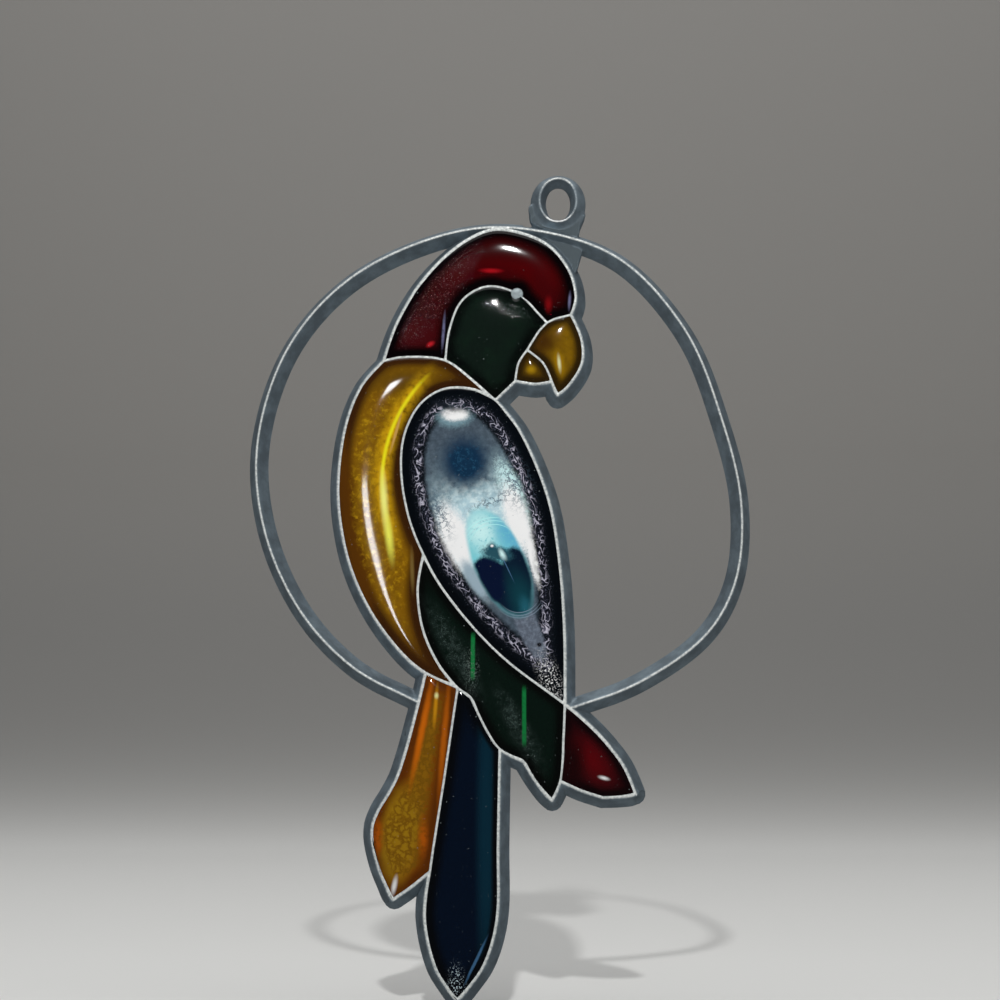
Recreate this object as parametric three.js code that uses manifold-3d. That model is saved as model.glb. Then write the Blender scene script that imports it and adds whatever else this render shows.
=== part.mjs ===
// A parrot suncatcher: one cast metal frame (a hoop with a hanging eye, and the leads that draw the
// bird) and ten cells of clear coloured resin, poured between the leads and domed at the front.
// Millimetres, +Z up, the front looks towards -Y, the origin is the middle of the hanging eye.
import * as THREE from 'three';
import { mergeVertices } from 'three/addons/utils/BufferGeometryUtils.js';
import Module from 'manifold-3d';

const wasm = await Module();
wasm.setup();

// ---- Driving dimensions ---------------------------------------------------------------------
const castingDepth = 4;        // flat back to crest
const leadCrest = 1.1;         // width of the bird's leads at the front
const hoopCrest = 0.6;         // width of the hoop at the front
const sideSlope = 2.05;        // how much further out each side of a lead lies at the back
const pupilCrest = 3.6;        // the bird's eye, a round boss
const fillClearance = 0.33;    // resin to metal, measured across the lead
const fillRecess = 0.1;        // the resin's back lies this far inside the casting's back
const domeRise = 1.5;          // how far a wide cell stands over its leads
const domeReach = 2.1;         // distance from a lead over which most of the rise happens
const eyeHole = [3, 3.8];      // half width and half height of the hanging eye's hole, at the back
const eyeWall = 4.1;           // width of the hanging eye's ring, at the back
const eyeInnerSlope = 1.6;     // how much wider the hole is at the front, on each side
const webDepth = 2.2;          // the low webs between the eye, the hoop and the bird's head
const longestStep = 6;         // longest straight step along a lead
const mostTurn = 0.13;         // most that a lead turns from one step to the next, in radians
const domeGrid = 3.4;          // spacing of the domes' facets
const bossSides = 14;          // facets round a boss
const eyeSides = 28;           // facets round the hanging eye

const frontFace = -castingDepth / 2;
const backFace = castingDepth / 2;

// ---- Where the leads meet, as [x, z] ----------------------------------------------------------
const nape = [-44, -42];
const cheek = [-28.5, -42];
const brow = [3, -30.5];
const bridge = [-3, -32.5];
const gape = [-8, -39.5];
const chin = [-11, -47.5];
const mouth = [-1.9, -47.7];
const beakTip = [-0.5, -51.2];
const throat = [-16, -52.4];
const flank = [-33.6, -91];
const wingTip = [0.7, -127.5];
const amberTop = [-32.7, -120];
const vent = [-25, -123.5];
const rumpNotch = [-21.8, -125.9];
const tailTop = [-14.9, -138];
const covertNotch = [-9.2, -140.9];
const covertTip = [-2.5, -150];
const featherRoot = [-0.5, -145.5];
const featherTip = [17.2, -148.5];
const hoopStart = [-34.3, -127];
const hoopEnd = [1.8, -128.5];
const amberTip = [-40, -172.8];
const amberFoot = [-31.3, -166.4];
const tailTip = [-24.7, -195.3];
const pupil = [-10.5, -24.8];

// ---- The leads: each is a smooth line through its points --------------------------------------
const leads = {
  crown: lead(nape, [-41.7, -34.6], [-37.2, -25.3], [-31, -17.1], [-23.6, -10.8], [-16.9, -7.9],
    [-10.7, -8.5], [-2.5, -12.3], [2.9, -19.6], [4.2, -26.7], brow),
  face: lead(cheek, [-27.6, -34.3], [-24.3, -26.3], [-18.1, -22.8], [-10.5, -24.8], bridge),
  beakRoot: lead(brow, bridge, gape, [-10.2, -43], chin),
  beakCurve: lead(brow, [5.5, -36.7], [5.6, -43.1], [1.9, -49.2], beakTip),
  beakSplit: lead(gape, [-4, -43], mouth, beakTip),
  jaw: lead(chin, [-5.8, -48.3], mouth),
  throat: lead(chin, throat),
  collar: lead(nape, [-41.2, -41.3], [-36.2, -41], cheek, [-22.3, -46.6], throat),
  breast: lead(nape, [-49.1, -47.9], [-52.8, -56.9], [-54.7, -70], [-54.4, -80.5], [-51.5, -93.7],
    [-45.8, -105.7], [-38, -115.7], amberTop, vent),
  wingFront: lead(throat, [-21.2, -49.7], [-28.8, -49.4], [-34.6, -53.1], [-38.5, -60.7],
    [-39.3, -69.8], [-37.3, -81.7], flank, [-28.4, -100.1], [-15.5, -115], wingTip),
  wingBack: lead(throat, [-10.4, -59.6], [-3.2, -76.8], [-0.4, -93], [0.7, -110], wingTip),
  thigh: lead(flank, [-34.9, -99.5], [-33.4, -109.8], [-29.2, -118.5], vent),
  rump: lead(vent, rumpNotch),
  rumpEdge: lead(rumpNotch, [-18, -133.6], tailTop, covertNotch),
  covertFront: lead(covertNotch, [-6, -146], covertTip),
  covertBack: lead(covertTip, featherRoot, [0.3, -136], wingTip),
  featherTop: lead(wingTip, [7.7, -133.7], [14.4, -142], featherTip),
  featherFoot: lead(featherTip, [9.5, -149.3], featherRoot),
  amberSide: lead(amberTop, hoopStart, [-39.3, -144.7], [-45, -156], [-43.5, -165.3], amberTip),
  amberEnd: lead(amberTip, [-35.9, -170], amberFoot),
  tailSeam: lead(vent, [-28.2, -145.7], amberFoot, [-32.4, -177], [-29.4, -189], tailTip),
  tailSide: lead(tailTop, [-15.3, -160], [-15.7, -178], [-19, -188.2], tailTip),
};

// The hoop leaves the amber tail feather, passes the bird's head and comes back beside the wing tip.
const hoop = lead(hoopStart, [-49.9, -118.9], [-63.2, -105.3], [-72.8, -85.2], [-75.3, -62.8],
  [-67.9, -37.6], [-51.7, -19.3], [-25.9, -8.1], [-7.1, -7.8], [14.9, -15.6], [31.5, -34.8], [40, -57.8],
  [44.1, -78.6], [42.3, -97.6], [34.9, -110.8], [18, -122.6], hoopEnd);

// Low webs behind the places where the eye, the hoop and the head run together.
const webs = [
  [[-7.1, 0], [-6.6, -6], [5, -9.5], [6.6, -2.5]],
  [[-3, -10], [7, -10], [4.4, -19], [1, -17]],
];

// ---- The resin cells: the stretches of lead that go round each one -----------------------------
const cells = {
  crown_resin: [['crown', nape, brow], ['beakRoot', brow, bridge], ['face', bridge, cheek],
    ['collar', cheek, nape]],
  face_resin: [['face', cheek, bridge], ['beakRoot', bridge, chin], ['throat', chin, throat],
    ['collar', throat, cheek]],
  upper_beak_resin: [['beakCurve', brow, beakTip], ['beakSplit', beakTip, gape], ['beakRoot', gape, brow]],
  lower_beak_resin: [['beakRoot', gape, chin], ['jaw', chin, mouth], ['beakSplit', mouth, gape]],
  breast_resin: [['collar', nape, throat], ['wingFront', throat, flank], ['thigh', flank, vent],
    ['breast', vent, nape]],
  wing_resin: [['wingFront', throat, wingTip], ['wingBack', wingTip, throat]],
  covert_resin: [['wingFront', flank, wingTip], ['covertBack', wingTip, covertTip],
    ['covertFront', covertTip, covertNotch], ['rumpEdge', covertNotch, rumpNotch],
    ['rump', rumpNotch, vent], ['thigh', vent, flank]],
  red_feather_resin: [['featherTop', wingTip, featherTip], ['featherFoot', featherTip, featherRoot],
    ['covertBack', featherRoot, wingTip]],
  amber_tail_resin: [['breast', amberTop, vent], ['tailSeam', vent, amberFoot],
    ['amberEnd', amberFoot, amberTip], ['amberSide', amberTip, amberTop]],
  blue_tail_resin: [['rump', vent, rumpNotch], ['rumpEdge', rumpNotch, tailTop],
    ['tailSide', tailTop, tailTip], ['tailSeam', tailTip, vent]],
};

const pewter = new THREE.MeshStandardMaterial({ color: 0x5c6266, roughness: 0.45, metalness: 0.9 });
const resinColours = {
  crown_resin: 0x5a0a0c,
  face_resin: 0x0e2a1e,
  upper_beak_resin: 0xa87a12,
  lower_beak_resin: 0xa87a12,
  breast_resin: 0xb08212,
  wing_resin: 0x2c4a78,
  covert_resin: 0x10301f,
  red_feather_resin: 0x640c10,
  amber_tail_resin: 0xb06a10,
  blue_tail_resin: 0x0e2440,
};

// ---- Lines ------------------------------------------------------------------------------------

// Cuts the smooth line through the knots into steps, shorter where it bends more, and keeps which step
// each knot falls on.
function lead(...knots) {
  const places = knots.map(([x, z]) => new THREE.Vector3(x, 0, z));
  const curve = new THREE.CatmullRomCurve3(places, false, 'centripetal');
  const spans = knots.length - 1;
  const points = [];
  const marks = [];
  for (let span = 0; span < spans; span += 1) {
    const turn = curve.getTangent(span / spans).angleTo(curve.getTangent((span + 1) / spans));
    const length = places[span].distanceTo(places[span + 1]);
    const steps = Math.ceil(Math.max(length / longestStep, turn / mostTurn));
    marks.push(points.length);
    for (let i = 0; i < steps; i += 1) {
      points.push(curve.getPoint((span + i / steps) / spans));
    }
  }
  marks.push(points.length);
  points.push(places[spans].clone());
  return { knots, points, marks };
}

// The steps of a lead from one of its knots to another, either way round, without the last step.
function stretch(name, from, to) {
  const { knots, points, marks } = leads[name];
  const start = marks[knots.indexOf(from)];
  const end = marks[knots.indexOf(to)];
  if (start < end) return points.slice(start, end);
  return points.slice(end + 1, start + 1).reverse();
}

function distanceToLoop(point, loop) {
  const nearest = new THREE.Vector3();
  const side = new THREE.Line3();
  const gaps = loop.map((corner, i) => {
    side.set(corner, loop[(i + 1) % loop.length]);
    side.closestPointToPoint(point, true, nearest);
    return nearest.distanceTo(point);
  });
  return Math.min(...gaps);
}

// ---- Solids -----------------------------------------------------------------------------------

function solidOf(geometry) {
  geometry.deleteAttribute('normal');
  geometry.deleteAttribute('uv');
  const merged = mergeVertices(geometry, 1e-5);
  const mesh = new wasm.Mesh({
    numProp: 3,
    vertProperties: new Float32Array(merged.attributes.position.array),
    triVerts: new Uint32Array(merged.index.array),
  });
  return new wasm.Manifold(mesh);
}

function geometryOf(solid) {
  const mesh = solid.getMesh();
  const geometry = new THREE.BufferGeometry();
  geometry.setAttribute('position', new THREE.BufferAttribute(new Float32Array(mesh.vertProperties), 3));
  geometry.setIndex(new THREE.BufferAttribute(new Uint32Array(mesh.triVerts), 1));
  geometry.computeVertexNormals();
  return geometry;
}

// The corners of a lead's section, as [across, y]. A reach carries it on past the crest, so that it cuts
// a dome as well.
function leadSection(crest, clearance, reach) {
  const top = crest / 2 + clearance;
  const foot = top + sideSlope;
  const outline = [[-top, frontFace], [top, frontFace], [foot, backFace], [-foot, backFace]];
  if (reach > 0) outline.splice(1, 0, [-top, frontFace - reach], [top, frontFace - reach]);
  return outline;
}

// Runs a section along a line that lies in the XZ plane, and closes both ends with fans.
function sweep(points, section) {
  const positions = [];
  const indices = [];
  const count = section.length;
  points.forEach((point, i) => {
    const before = points[Math.max(i - 1, 0)];
    const after = points[Math.min(i + 1, points.length - 1)];
    const along = after.clone().sub(before).normalize();
    section.forEach(([across, y]) => {
      positions.push(point.x - along.z * across, y, point.z + along.x * across);
    });
  });
  for (let ring = 0; ring < points.length - 1; ring += 1) {
    for (let k = 0; k < count; k += 1) {
      const a = ring * count + k;
      const b = ring * count + (k + 1) % count;
      indices.push(a, a + count, b, b, a + count, b + count);
    }
  }
  const last = (points.length - 1) * count;
  for (let k = 1; k < count - 1; k += 1) {
    indices.push(0, k, k + 1, last, last + k + 1, last + k);
  }
  const geometry = new THREE.BufferGeometry();
  geometry.setAttribute('position', new THREE.Float32BufferAttribute(positions, 3));
  geometry.setIndex(indices);
  return solidOf(geometry);
}

// A round boss with the same sloping sides as a lead, for the places where leads meet and for the pupil.
function boss([x, z], crest, clearance, reach) {
  const front = crest / 2 + clearance;
  const foot = front + sideSlope;
  const profile = [[0, backFace], [foot, backFace], [front, frontFace], [front, frontFace - reach]];
  if (reach === 0) profile.pop();
  profile.push([0, frontFace - reach]);
  const outline = profile.reverse().map(([radius, y]) => new THREE.Vector2(radius, y));
  return solidOf(new THREE.LatheGeometry(outline, bossSides)).translate([x, 0, z]);
}

function joined(solids) {
  return solids.reduce((whole, piece) => whole.add(piece));
}

// The hoop and all the leads of the bird, at their own width or wider by the clearance.
function leadwork(clearance, reach) {
  const section = leadSection(leadCrest, clearance, reach);
  const lines = Object.values(leads);
  const birdLeads = lines.map(({ points }) => sweep(points, section));
  const ends = new Set(lines.flatMap(({ knots }) => [knots[0], knots.at(-1)]));
  const joints = [...ends].map((place) => boss(place, leadCrest, clearance, reach));
  const hoopLead = sweep(hoop.points, leadSection(hoopCrest, clearance, reach));
  return joined([hoopLead, ...birdLeads, ...joints, boss(pupil, pupilCrest, clearance, reach)]);
}

// A cone through the casting, from an oval at the back to one at the front, as [half width, half height].
function ovalCone(back, front) {
  const cone = new THREE.CylinderGeometry(1, 1, castingDepth, eyeSides);
  const place = cone.attributes.position;
  for (let i = 0; i < place.count; i += 1) {
    const [wide, high] = place.getY(i) > 0 ? back : front;
    place.setXYZ(i, place.getX(i) * wide, place.getY(i), place.getZ(i) * high);
  }
  return solidOf(cone);
}

// A flat slab of the outline, from a depth y towards the front.
function slab(outline, y, depth) {
  const shape = new THREE.Shape(outline.map(([x, z]) => new THREE.Vector2(x, z)));
  const geometry = new THREE.ExtrudeGeometry(shape, { depth, bevelEnabled: false });
  return solidOf(geometry.rotateX(Math.PI / 2).translate(0, y, 0));
}

// The hanging eye is an oval ring whose sides slope as the leads' do.
function hangingEye(casting) {
  const grow = ([wide, high], by) => [wide + by, high + by];
  const crestInside = grow(eyeHole, eyeInnerSlope);
  const ring = ovalCone(grow(eyeHole, eyeWall), grow(crestInside, hoopCrest));
  return casting.add(ring).subtract(ovalCone(eyeHole, crestInside));
}

// ---- Resin ------------------------------------------------------------------------------------

// The surface of poured resin stands level with its leads and rises towards the middle of its cell.
function domeHeight(distance) {
  return domeRise * (1 - Math.exp(-Math.max(distance - leadCrest / 2, 0) / domeReach));
}

// A cell is a flat-backed slab between the middles of its leads, with the domed face cut on its front and
// the leads cut out of it.
function resinCell(sides, cutter) {
  const loop = sides.flatMap(([name, from, to]) => stretch(name, from, to));
  const fill = slab(loop.map(({ x, z }) => [x, z]), backFace - fillRecess, castingDepth + domeRise);

  const box = new THREE.Box3().setFromPoints(loop);
  const size = box.getSize(new THREE.Vector3());
  const middle = box.getCenter(new THREE.Vector3());
  const cellsAcross = Math.ceil(size.x / domeGrid);
  const cellsUp = Math.ceil(size.z / domeGrid);
  const dome = new THREE.BoxGeometry(size.x, castingDepth, size.z, cellsAcross, 1, cellsUp);
  dome.translate(middle.x, castingDepth / 2, middle.z);
  const place = dome.attributes.position;
  const onPlane = new THREE.Vector3();
  for (let i = 0; i < place.count; i += 1) {
    if (place.getY(i) > 0) {
      continue;
    }
    onPlane.set(place.getX(i), 0, place.getZ(i));
    place.setY(i, frontFace - domeHeight(distanceToLoop(onPlane, loop)));
  }
  return fill.intersect(solidOf(dome)).subtract(cutter);
}

// ---- The object -------------------------------------------------------------------------------

const suncatcher = new THREE.Group();

function addPiece(name, solid, material) {
  const piece = new THREE.Mesh(geometryOf(solid), material);
  piece.name = name;
  suncatcher.add(piece);
}

const casting = joined([leadwork(0, 0), ...webs.map((outline) => slab(outline, backFace, webDepth))]);
addPiece('frame', hangingEye(casting), pewter);

const clearOfLeads = leadwork(fillClearance, domeRise);
Object.entries(cells).forEach(([name, sides]) => {
  const resin = new THREE.MeshStandardMaterial({
    color: resinColours[name],
    roughness: 0.1,
    metalness: 0,
    transparent: true,
    opacity: 0.8,
  });
  addPiece(name, resinCell(sides, clearOfLeads), resin);
});

export default suncatcher;
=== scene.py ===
# %% [markdown]
# # A parrot suncatcher, dressed cell by cell
# The object is one cast metal frame and ten cells of clear coloured resin poured between its leads. This
# lesson loads the finished construction as a fixed frame, and then makes what the eye sees: softened
# leads, domed resin, tarnish, crackle and gloss. Everything is in metres and the front looks towards -Y.

import math

import bpy
import numpy as np
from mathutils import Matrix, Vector


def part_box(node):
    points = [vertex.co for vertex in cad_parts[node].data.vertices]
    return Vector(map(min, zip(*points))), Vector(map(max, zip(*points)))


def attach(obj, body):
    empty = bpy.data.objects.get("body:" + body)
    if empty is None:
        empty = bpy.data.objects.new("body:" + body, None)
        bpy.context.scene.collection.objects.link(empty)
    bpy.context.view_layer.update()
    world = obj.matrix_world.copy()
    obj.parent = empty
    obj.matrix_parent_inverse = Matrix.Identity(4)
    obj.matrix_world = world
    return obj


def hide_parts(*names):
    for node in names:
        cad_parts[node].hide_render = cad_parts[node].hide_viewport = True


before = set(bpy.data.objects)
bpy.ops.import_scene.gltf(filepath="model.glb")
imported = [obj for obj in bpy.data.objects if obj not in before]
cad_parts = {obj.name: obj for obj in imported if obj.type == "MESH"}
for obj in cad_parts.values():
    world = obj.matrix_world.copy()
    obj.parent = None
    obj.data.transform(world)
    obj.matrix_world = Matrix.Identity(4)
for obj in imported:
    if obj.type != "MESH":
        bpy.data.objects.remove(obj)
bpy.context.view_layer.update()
print("frame nodes:", sorted(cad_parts))

# %% [markdown]
# A few sizes say where the metal begins and ends. They are measured on the frame node, so the dressed
# pieces fit the construction whatever its size is.

# %% Measure the casting
MM = 0.001
frame_low, frame_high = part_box("frame")
CREST = frame_low.y
BACK = frame_high.y
TAIL_TIP = frame_low.z
MIDDLE = Vector(((frame_low.x + frame_high.x) / 2, 0, (frame_low.z + frame_high.z) / 2))
print("crest plane y", round(CREST / MM, 2), "back plane y", round(BACK / MM, 2), "mm")

# %% [markdown]
# ## Camera
# The camera comes first, because every light is judged through it. It stands as far away as a book is
# held, and lower than the middle of the bird, looking slightly up. A camera in Blender looks along its
# own -Z, so to_track_quat turns that axis towards the aim.

# %% Camera
EYE_POINT = Vector((-1.0, -354.0, -142.9)) * MM
AIM_POINT = Vector((-14.8, -2.0, -77.7)) * MM
LENS = 52.49
SENSOR = 36.0
NEAREST = 0.01

bpy.ops.object.camera_add(location=EYE_POINT)
camera = bpy.context.object
camera.name = "studio_camera"
camera.rotation_euler = (AIM_POINT - EYE_POINT).to_track_quat("-Z", "Y").to_euler()
camera.data.lens = LENS
camera.data.sensor_width = SENSOR
camera.data.clip_start = NEAREST
bpy.context.scene.camera = camera
upwards = (AIM_POINT - EYE_POINT).angle(Vector((0, 1, 0)))
print("camera looks up by", round(math.degrees(upwards), 1), "degrees")

# %% [markdown]
# ## Taking a piece in hand
# An operator works on whatever is selected, so each step first lets go of everything and then takes one
# object in hand. A mesh could be built from lists of numbers instead, but this is how a modeller works at
# the screen, and it leaves the mesh sound.

# %% Selecting
def take(piece):
    bpy.ops.object.select_all(action="DESELECT")
    piece.select_set(True)
    bpy.context.view_layer.objects.active = piece


def edit(piece, elements="VERT"):
    take(piece)
    bpy.ops.object.mode_set(mode="EDIT")
    bpy.ops.mesh.select_mode(type=elements)
    bpy.ops.mesh.select_all(action="DESELECT")


def leave_edit():
    bpy.ops.object.mode_set(mode="OBJECT")


# %% [markdown]
# ## The crest lines
# The bright front faces of the leads all lie in one plane. Their edges are closed lines: one round each
# resin cell, one round each gap, and one round the whole piece. The construction draws them with short
# straight steps. Walking along those edges gives each line in order.

# %% A working copy of the casting
DOUBLED = 0.02 * MM
ON_PLANE = 0.01 * MM
TINY_STEP = 0.2 * MM

take(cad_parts["frame"])
bpy.ops.object.duplicate()
casting = bpy.context.object
casting.name = "cast_frame"
casting.data.name = casting.name
casting.parent = None
casting.data.materials.clear()
edit(casting)
bpy.ops.mesh.select_all(action="SELECT")
bpy.ops.mesh.remove_doubles(threshold=DOUBLED)
bpy.ops.mesh.select_all(action="DESELECT")
leave_edit()
print("working copy:", len(casting.data.polygons), "faces")

# %% Its crest lines
FACES_FRONT = -0.99


def faces_on_crest(mesh):
    flat = [face for face in mesh.polygons if face.normal.y < FACES_FRONT]
    return [face for face in flat if abs(face.center.y - CREST) < ON_PLANE]


def crest_lines(mesh):
    """The closed lines round the crest faces, each as rows of x, z with the metal always on the same side."""
    used = {}  # a dictionary, because it keeps the order that a set would lose
    for face in faces_on_crest(mesh):
        corners = list(face.vertices)
        for here, there in zip(corners, corners[1:] + corners[:1]):
            used[(here, there)] = True
    following = {}
    for here, there in used:
        if (there, here) not in used:
            following[here] = there
    lines = []
    while following:
        start, step = following.popitem()
        line = [start]
        while step != start:
            line.append(step)
            step = following.pop(step)
        lines.append(without_tiny_steps([Vector(mesh.vertices[i].co.xz) for i in line]))
    return lines


def without_tiny_steps(line):
    kept = [line[0]]
    for point in line[1:]:
        if (point - kept[-1]).length > TINY_STEP and (point - line[0]).length > TINY_STEP:
            kept.append(point)
    return np.array(kept)


straight_lines = crest_lines(casting.data)
print("crest lines:", len(straight_lines), "with", sum(len(line) for line in straight_lines), "steps")

# %% [markdown]
# A caster's pattern has flowing lines, so each straight step is swapped for a curve through the same
# points. The curve is a Catmull-Rom spline. It is broken at sharp corners, because a lead that meets
# another must keep its corner.

# %% Flowing lines through the same points
SHARP_TURN = math.radians(20)
NEVER_ZERO = 1e-12


def turns_along(line):
    before = line - np.roll(line, 1, axis=0)
    after = np.roll(line, -1, axis=0) - line
    cross = before[:, 0] * after[:, 1] - before[:, 1] * after[:, 0]
    return np.arctan2(cross, (before * after).sum(axis=1))


def slopes_along(line):
    """The direction of the curve as it leaves and reaches each point, per step."""
    step = np.roll(line, -1, axis=0) - line
    size = np.maximum(np.linalg.norm(step, axis=1), NEVER_ZERO)[:, None]
    size_before = np.roll(size, 1, axis=0)
    step_before = np.roll(step, 1, axis=0)
    through = step_before / size_before * size + step / size * size_before
    through /= size + size_before
    sharp = (np.abs(turns_along(line)) > SHARP_TURN)[:, None]
    leaving = np.where(sharp, step / size, through)
    reaching = np.roll(np.where(sharp, step_before / size_before, through), -1, axis=0)
    return step, size, leaving, reaching


def bulge(steps, which, part):
    """How far the curve stands off the straight step, at a part of the way along the step."""
    step, size, leaving, reaching = (row[which] for row in steps)
    part = part[:, None]
    into = part * (1 - part) ** 2 * leaving * size - part ** 2 * (1 - part) * reaching * size
    eased = part ** 2 * (3 - 2 * part) - part
    return into + eased * step


def flowing(line, spacing):
    """The line as a smooth curve, cut into even short steps."""
    steps = slopes_along(line)
    rows = []
    for i, size in enumerate(steps[1][:, 0]):
        count = max(1, round(size / spacing))
        part = np.arange(count) / count
        which = np.full(count, i)
        rows.append(line[i] + part[:, None] * steps[0][i] + bulge(steps, which, part))
    return np.vstack(rows)


print("longest step", round(max(slopes_along(line)[1].max() for line in straight_lines) / MM, 2), "mm")

# %% [markdown]
# ## The cast frame
# On the real object the frame is one casting with a flat back. Its leads are narrow at the front, their
# sides slope down to a wide foot, and nothing about them is sharp. It could be made from curves with a
# bevel, but the working copy already has every junction right. So the copy gets a small bevel along its
# crest lines, is divided finely, and is then bent by the same small amounts that turn the straight steps
# into flowing lines.

# %% [markdown]
# A bevel that takes more than half of the crest's width folds over itself, and some leads are narrower
# than others. So the room beside each step is measured first: straight across the metal to the next line,
# and less at a sharp corner. It may only grow slowly from step to step, or the bevel would jump.

# %% The room on the crest
CORNER_SHARE = 1.6
ROOM_CHANGE = 0.12 * MM
ROOM_SPREAD = 12


def room_beside(lines):
    """The crest's width beside the middle of each step, and less where the line turns back sharply."""
    straightness = []
    for line in lines:
        along = np.roll(line, -1, axis=0) - line
        along /= np.linalg.norm(along, axis=1)[:, None]
        corner = np.sqrt(np.clip((1 + (along * np.roll(along, 1, axis=0)).sum(axis=1)) / 2, 0, 1))
        straightness.append(np.minimum(corner, np.roll(corner, -1)))
    starts = np.vstack(lines)
    ends = np.vstack([np.roll(line, -1, axis=0) for line in lines])
    step = ends - starts
    middles = (starts + ends) / 2
    across = np.column_stack([-step[:, 1], step[:, 0]]) / np.linalg.norm(step, axis=1)[:, None]
    offset = starts[None] - middles[:, None]
    cross = across[:, None, 0] * step[None, :, 1] - across[:, None, 1] * step[None, :, 0]
    cross = np.where(np.abs(cross) < NEVER_ZERO, NEVER_ZERO, cross)
    reach = (offset[..., 0] * step[None, :, 1] - offset[..., 1] * step[None, :, 0]) / cross
    part = (offset[..., 0] * across[:, None, 1] - offset[..., 1] * across[:, None, 0]) / cross
    hits = (reach > ON_PLANE) & (part > 0) & (part < 1)
    room = np.where(hits, reach, 1).min(axis=1)
    room *= np.minimum(1, CORNER_SHARE * np.concatenate(straightness))
    rooms = np.split(room, np.cumsum([len(line) for line in lines])[:-1])
    for _ in range(ROOM_SPREAD):
        beside = [np.minimum(np.roll(room, 1), np.roll(room, -1)) for room in rooms]
        rooms = [np.minimum(room, least + ROOM_CHANGE) for room, least in zip(rooms, beside)]
    return middles, np.concatenate(rooms)


crest_middles, crest_room = room_beside(straight_lines)
print("room on the crest:", round(crest_room.min() / MM, 2), "to", round(crest_room.max() / MM, 2), "mm")

# %% [markdown]
# A bevel weight on each edge of the crest then tells the bevel how much of its full width to take there.
# A single width for the whole casting would be simpler, but it would have to suit the narrowest place.

# %% Bevel weights
CREST_ROUNDING = 0.52 * MM
ROUNDED_SHARE = 0.43
NEARLY_FLAT = math.radians(0.2)


def weigh_crest_edges(mesh):
    """Gives each edge of the crest a bevel weight of just under half the crest's width there."""
    crest = {face.index for face in faces_on_crest(mesh)}
    owners = {}
    for face in mesh.polygons:
        for key in face.edge_keys:
            owners.setdefault(key, []).append(face.index in crest)
    weights = np.zeros(len(mesh.edges), dtype=np.float32)
    for edge in mesh.edges:
        if sum(owners[edge.key]) == 1:
            ends = [mesh.vertices[i].co.xz for i in edge.vertices]
            middle = np.array((ends[0] + ends[1]) / 2)
            nearest = np.linalg.norm(crest_middles - middle, axis=1).argmin()
            weights[edge.index] = min(1, ROUNDED_SHARE * crest_room[nearest] / CREST_ROUNDING)
    store = mesh.attributes.new("bevel_weight_edge", "FLOAT", "EDGE")
    store.data.foreach_set("value", weights)
    rounding = weights[weights > 0].mean() * CREST_ROUNDING
    print("crest edges:", (weights > 0).sum(), "mean rounding", round(rounding / MM, 2), "mm")


edit(casting, "EDGE")
bpy.ops.mesh.select_all(action="SELECT")
bpy.ops.mesh.dissolve_limited(angle_limit=NEARLY_FLAT)
leave_edit()
weigh_crest_edges(casting.data)

# %% [markdown]
# The bevel is a modifier, and it is applied at once, because the next steps work on the mesh that it
# makes. It leaves doubled points where two roundings meet. They are merged, and every face is cut into
# triangles, because a bend can twist a face with more corners.

# %% Round the crest edges
def apply_modifier(piece, kind, **settings):
    take(piece)
    modifier = piece.modifiers.new(kind.lower(), kind)
    for name, value in settings.items():
        setattr(modifier, name, value)
    bpy.ops.object.modifier_apply(modifier=modifier.name)


def triangulate():
    bpy.ops.mesh.select_all(action="SELECT")
    bpy.ops.mesh.quads_convert_to_tris(quad_method="BEAUTY", ngon_method="BEAUTY")


def merge_and_triangulate(piece, distance):
    edit(piece)
    bpy.ops.mesh.select_all(action="SELECT")
    bpy.ops.mesh.remove_doubles(threshold=distance)
    triangulate()
    leave_edit()


apply_modifier(casting, "BEVEL", width=CREST_ROUNDING, segments=3, limit_method="WEIGHT",
               use_clamp_overlap=False)
merge_and_triangulate(casting, DOUBLED)
print("bevelled casting:", len(casting.data.polygons), "faces")

# %% [markdown]
# A curve needs points to bend at. Three rounds of picking out the edges that are still long, and halving
# just those, put points where the lead is long and leave the small faces at its corners alone.

# %% Divide the long edges
LONGEST_EDGE = 1.5 * MM
HALVINGS = 3


def places_of(mesh):
    """All vertex places of a mesh as rows of x, y, z."""
    rows = np.empty(len(mesh.vertices) * 3)
    mesh.vertices.foreach_get("co", rows)
    return rows.reshape(-1, 3)


def edit_chosen(piece, chosen, elements="VERT"):
    """Enters edit mode with just the chosen points, edges or faces selected."""
    edit(piece, elements)
    leave_edit()
    lists = {"VERT": piece.data.vertices, "EDGE": piece.data.edges, "FACE": piece.data.polygons}
    lists[elements].foreach_set("select", chosen)
    bpy.ops.object.mode_set(mode="EDIT")


def long_edges(mesh):
    rows = places_of(mesh)
    ends = np.empty(len(mesh.edges) * 2, dtype=np.int32)
    mesh.edges.foreach_get("vertices", ends)
    first, last = ends.reshape(-1, 2).T
    return np.linalg.norm(rows[first] - rows[last], axis=1) > LONGEST_EDGE


for _ in range(HALVINGS):
    edit_chosen(casting, long_edges(casting.data), "EDGE")
    bpy.ops.mesh.subdivide(number_cuts=1)
    triangulate()
    leave_edit()
    print("long edges left:", long_edges(casting.data).sum(), "faces", len(casting.data.polygons))

# %% [markdown]
# Now every point is moved as much as the nearest crest line moves when its straight steps become curves.
# A lattice or a curve modifier could bend the leads too, but this way their feet follow their crests
# exactly.

# %% Bend the steps into flowing lines
ROWS_AT_ONCE = 2000


def set_places(mesh, rows):
    mesh.vertices.foreach_set("co", rows.ravel())
    mesh.update()


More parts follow.
